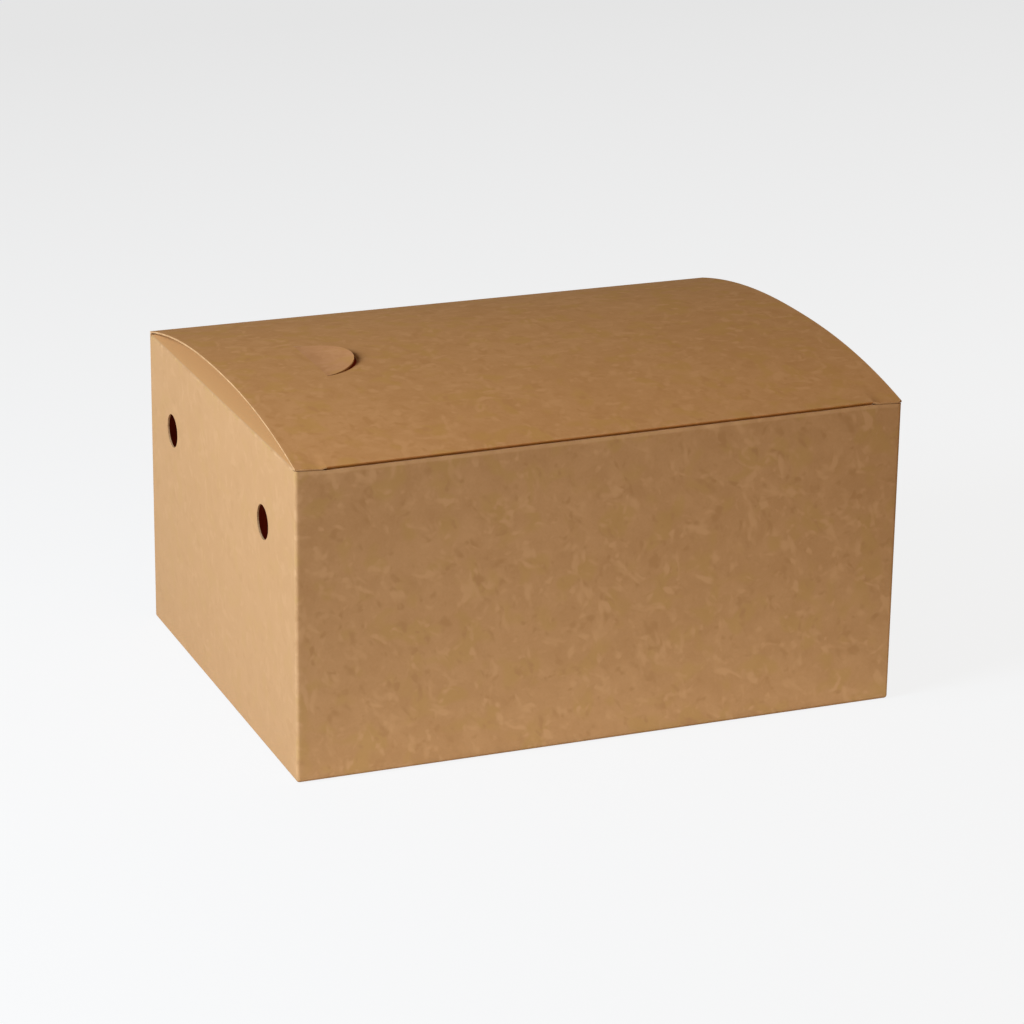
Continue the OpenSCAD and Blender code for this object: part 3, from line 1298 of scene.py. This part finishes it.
@dataclass
class SteamTab:
    """The half-moon tab that is cut from the lid and stands a little open."""

    board: Board
    arch: Arch
    crease_from_left: float = 27.5
    width: float = 30.0
    reach: float = 12.8
    kerf: float = 0.3
    tip_gap: float = 0.5
    lift: float = 6.0
    curl: float = 1.8
    spring: float = 1.08
    patch_margin: float = 4.0
    strip: float = 2.5
    bend_width: float = 1.2
    curl_steps: int = 16
    chord_cuts: int = 20
    segments: int = 72

    @property
    def crease_x(self) -> float:
        """Place of the tab's crease along the lid."""
        return -self.board.half_length + self.crease_from_left

    def half_moon(self, bm: BMesh, width: float, reach: float) -> BMFace:
        """Draws the half-moon flat in plan, its crease on crease_x and its tip to the right.

        Args:
            bm: The mesh to draw in.
            width: Width along the crease.
            reach: Reach of its tip from the crease.

        Returns:
            Its face.
        """
        radius = (width**2 / 4 + reach**2) / (2 * reach)
        place = Matrix.Translation((self.crease_x + reach - radius, 0, 0))
        disc = bmesh.ops.create_circle(bm, cap_ends=True, segments=self.segments, radius=radius, matrix=place)
        face = disc["verts"][0].link_faces[0]
        geom = [face, *face.edges, *face.verts]
        left = bmesh.ops.bisect_plane(
            bm,
            geom=geom,
            dist=TOUCH / 10,
            plane_co=(self.crease_x, 0, 0),
            plane_no=(1, 0, 0),
            clear_inner=True,
        )["geom"]
        return next(g for g in left if isinstance(g, BMFace))

    def cut_hole(self, bm: BMesh) -> None:
        """Cuts the tab's hole in the lid's flat plan.

        Args:
            bm: The lid's sheet, still flat.
        """
        low = self.crease_x - self.patch_margin
        high = self.crease_x + self.reach + self.kerf + self.patch_margin
        half = self.width / 2 + self.kerf + self.patch_margin
        for x in (low, high):
            cut(bm, bm.faces, Vector((x, 0, 0)), Vector((1, 0, 0)))
        for y in (-half, half):
            cut(bm, bm.faces, Vector((0, y, 0)), Vector((0, 1, 0)))
        moon = self.half_moon(bm, self.width + 2 * self.kerf, self.reach + self.kerf)
        chord = [e for e in moon.edges if all(abs(v.co.x - self.crease_x) < TOUCH for v in e.verts)]
        bmesh.ops.subdivide_edges(bm, edges=chord, cuts=self.chord_cuts)
        rim = list(moon.edges)
        bmesh.ops.delete(bm, geom=[moon], context="FACES_ONLY")
        hole(bm, rim, lambda p: low < p.x < high and abs(p.y) < half)

    def build(self, dresser: Dresser, outer: bpy.types.Material) -> list[bpy.types.Object]:
        """Builds the tab, which bends out of the lid at its crease.

        Args:
            dresser: Gives the sheet its thickness.
            outer: Finish of the outer face.

        Returns:
            The one piece.
        """
        bm = bmesh.new()
        self.half_moon(bm, self.width, self.reach - self.tip_gap)
        lines = int(self.width / 2 / self.strip)
        for i in range(-lines, lines + 1):
            cut(bm, bm.faces, Vector((0, i * self.strip, 0)), Vector((0, 1, 0)))
        for i in range(1, self.curl_steps):
            x = self.crease_x + self.reach * i / self.curl_steps
            cut(bm, bm.faces, Vector((x, 0, 0)), Vector((1, 0, 0)))
        tip = self.reach * math.sin(math.radians(self.lift)) * self.spring
        for vert in bm.verts:
            share = (vert.co.x - self.crease_x) / self.reach
            vert.co.z = self.arch.height(vert.co.y) + tip * max(0.0, share) ** self.curl
        face_out(bm, Vector((0, 0, self.board.wall_height / 2)))
        tab = dresser.piece("half_moon_tab", bm, outer, Slot.TAB)
        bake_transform(tab)
        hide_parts("steam_tab")
        return [tab]


@dataclass(frozen=True)
class Viewpoint:
    """The camera of the photograph, as angles, a lens and what it sees the origin at."""

    azimuth: float = -21.8976
    elevation: float = 19.2609
    roll: float = 0.723
    focal_length_px: float = 3642.47
    image_px: float = 1024.0
    sensor_mm: float = 36.0
    origin_right_mm: float = 0.0145
    origin_up_mm: float = -43.0263
    distance_mm: float = 1089.39
    clip_start_mm: float = 50.0

    def build(self) -> bpy.types.Object:
        """Sets up the scene's camera.

        Returns:
            The camera.
        """
        az, roll = math.radians(self.azimuth), math.radians(self.roll)
        back = heading(self.azimuth, self.elevation)
        level = Vector((math.cos(az), math.sin(az), 0))
        upright = back.cross(level)
        right = math.cos(roll) * level + math.sin(roll) * upright
        up = math.cos(roll) * upright - math.sin(roll) * level
        place = -self.origin_right_mm * right - self.origin_up_mm * up + self.distance_mm * back
        lens = bpy.data.cameras.new("camera")
        lens.sensor_width = self.sensor_mm
        lens.lens = self.focal_length_px * self.sensor_mm / self.image_px
        lens.clip_start = self.clip_start_mm * MM
        made = add_object("camera", lens)
        made.matrix_world = Matrix.Translation(place * MM) @ Matrix((right, up, back)).transposed().to_4x4()
        bpy.context.scene.camera = made
        return made


@dataclass(frozen=True)
class SoftLight:
    """A rectangular studio lamp that looks at a point of the box."""

    name: str
    azimuth: float
    elevation: float
    distance: float
    size: tuple[float, float]
    level: float
    colour: Colour = (255, 255, 255)
    target: tuple[float, float, float] = (0.0, 0.0, 0.05)

    def build(self) -> bpy.types.Object:
        """Makes the lamp, bright enough that white card facing it at the target renders at its level.

        Returns:
            The lamp.
        """
        away = heading(self.azimuth, self.elevation)
        lamp = bpy.data.lights.new(self.name, "AREA")
        lamp.shape = "RECTANGLE"
        lamp.size, lamp.size_y = self.size
        lamp.energy = self.level * math.pi**2 * self.distance**2
        lamp.color = linear(self.colour)[:3]
        made = add_object(self.name, lamp)
        made.location = Vector(self.target) + away * self.distance
        made.rotation_euler = away.to_track_quat("Z", "Y").to_euler()
        made.visible_camera = False
        return made


@dataclass(frozen=True)
class BoardGlow:
    """The faint red-brown light that thin board lets through into the box."""

    place: tuple[float, float, float] = (0.0, 0.0, 0.045)
    colour: Colour = (255, 118, 97)
    radius: float = 0.02
    energy: float = 0.02

    def build(self) -> None:
        """Sets the glow in the middle of the box."""
        lamp = bpy.data.lights.new("board_glow", "POINT")
        lamp.color = linear(self.colour)[:3]
        lamp.shadow_soft_size = self.radius
        lamp.energy = self.energy
        made = add_object("board_glow", lamp)
        made.location = self.place
        made.visible_camera = False


@dataclass(frozen=True)
class Studio:
    """A pale floor that runs to the horizon, soft lamps and a dim surround."""

    floor_half: float = 6.0
    floor_drop: float = 0.0002
    card: Colour = (222, 204, 180)
    seen_floor: Colour = (255, 255, 255)
    seen_light: float = 0.08
    seen_level: tuple[float, float] = (0.862, 0.765)
    seen_reach: tuple[float, float] = (0.1, 0.9)
    surround: Colour = (255, 244, 228)
    surround_level: float = 0.1
    glow: BoardGlow = BoardGlow()
    lamps: tuple[SoftLight, ...] = (
        SoftLight(
            "key_light",
            azimuth=-77,
            elevation=26,
            distance=1.0,
            size=(0.4, 0.4),
            level=1.58,
            colour=(225, 239, 255),
        ),
        SoftLight(
            "front_fill",
            azimuth=20,
            elevation=20,
            distance=1.0,
            size=(0.7, 0.5),
            level=0.16,
            colour=(255, 200, 115),
        ),
        SoftLight(
            "front_bounce",
            azimuth=0,
            elevation=-90,
            distance=0.0997,
            size=(0.21, 0.1),
            level=0.52,
            colour=(249, 255, 252),
            target=(0.0, -0.119, 0.1),
        ),
    )

    def build(self) -> None:
        """Lays the floor, hangs the lamps and sets the world's light."""
        self.lay_floor()
        self.glow.build()
        for lamp in self.lamps:
            lamp.build()
        world = bpy.data.worlds.new("surround")
        bpy.context.scene.world = world
        world.use_nodes = True
        g = Graph(world.node_tree)
        light = g.node("ShaderNodeBackground", Color=linear(self.surround), Strength=self.surround_level)
        seen = g.node("ShaderNodeBackground", Color=linear(self.seen_floor), Strength=self.seen_level[1])
        self.show_seen(g, light, seen, "ShaderNodeOutputWorld")

    def show_seen(self, g: Graph, lit: bpy.types.Node, seen: bpy.types.Node, output: str) -> None:
        """Shows one shader to the camera and in reflections, and lets the other light the box.

        Args:
            g: The graph of the floor or the world.
            lit: The shader that every other ray meets.
            seen: The shader that is seen.
            output: The output node's type name.
        """
        rays = g.node("ShaderNodeLightPath").outputs
        looks = g.math("MAXIMUM", rays["Is Camera Ray"], rays["Is Glossy Ray"])
        looks = g.math("MAXIMUM", looks, rays["Is Transmission Ray"])
        mix = g.node("ShaderNodeMixShader")
        g.feed(mix.inputs[0], looks)
        g.feed(mix.inputs[1], lit.outputs[0])
        g.feed(mix.inputs[2], seen.outputs[0])
        g.feed(g.node(output).inputs["Surface"], mix.outputs[0])

    def lay_floor(self) -> None:
        """Lays a plain pale floor that keeps the box's soft shadow."""
        bm = bmesh.new()
        bmesh.ops.create_grid(bm, x_segments=1, y_segments=1, size=self.floor_half)
        bmesh.ops.translate(bm, vec=(0, 0, -self.floor_drop), verts=bm.verts)
        mesh = bpy.data.meshes.new("floor")
        bm.to_mesh(mesh)
        bm.free()
        floor = add_object("floor", mesh)
        made, g = new_material("floor")
        plain = g.node("ShaderNodeBsdfDiffuse", Color=linear(self.card))
        shaded = g.node("ShaderNodeBsdfDiffuse", Color=(*[self.seen_light] * 3, 1.0))
        place = g.node("ShaderNodeSeparateXYZ", Vector=g.node("ShaderNodeTexCoord").outputs["Object"])
        level = g.node("ShaderNodeMapRange", Value=place.outputs["Y"])
        ends = ("From Min", "From Max", "To Min", "To Max")
        for name, value in zip(ends, (*self.seen_reach, *self.seen_level)):
            level.inputs[name].default_value = value
        glow = g.node("ShaderNodeEmission", Color=linear(self.seen_floor), Strength=level.outputs["Result"])
        seen = g.node("ShaderNodeAddShader")
        g.feed(seen.inputs[0], shaded.outputs[0])
        g.feed(seen.inputs[1], glow.outputs[0])
        self.show_seen(g, plain, seen, "ShaderNodeOutputMaterial")
        mesh.materials.append(made)


def main() -> None:
    """Builds the snack box, the studio and the camera."""
    logging.basicConfig(level=logging.INFO, format="%(name)s: %(message)s")
    low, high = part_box("carton")
    board = Board(length=(high.x - low.x) / MM, depth=(high.y - low.y) / MM)
    arch = Arch(board)
    kraft = KraftFinish("kraft_outside", base=(176, 137, 97))
    lining = KraftFinish("kraft_inside", base=(172, 130, 88), seed=40.0)
    # The lid and the tab are the same board as the walls, but get warmer, more saturated bases: a painted
    # shade for the lid lying in less light.
    lid_kraft_painted_shade = KraftFinish("kraft_lid", base=(190, 136, 84), seed=20.0, pale_fibre=7.0, dark_fibre=6.0)
    tab_kraft_painted_shade = KraftFinish("kraft_tab", base=(188, 133, 87), seed=60.0, pale_fibre=5.0, dark_fibre=4.0)
    dresser = Dresser(board, edge=EdgeFinish().material(), inner=lining.material())
    tab = SteamTab(board, arch)
    Carton(board, arch).build(dresser, kraft.material())
    Lid(board, arch).build(dresser, lid_kraft_painted_shade.material(), tab)
    tab.build(dresser, tab_kraft_painted_shade.material())
    Studio().build()
    Viewpoint().build()
    bpy.context.scene.view_settings.view_transform = "Standard"


if __name__ == "__main__":
    main()
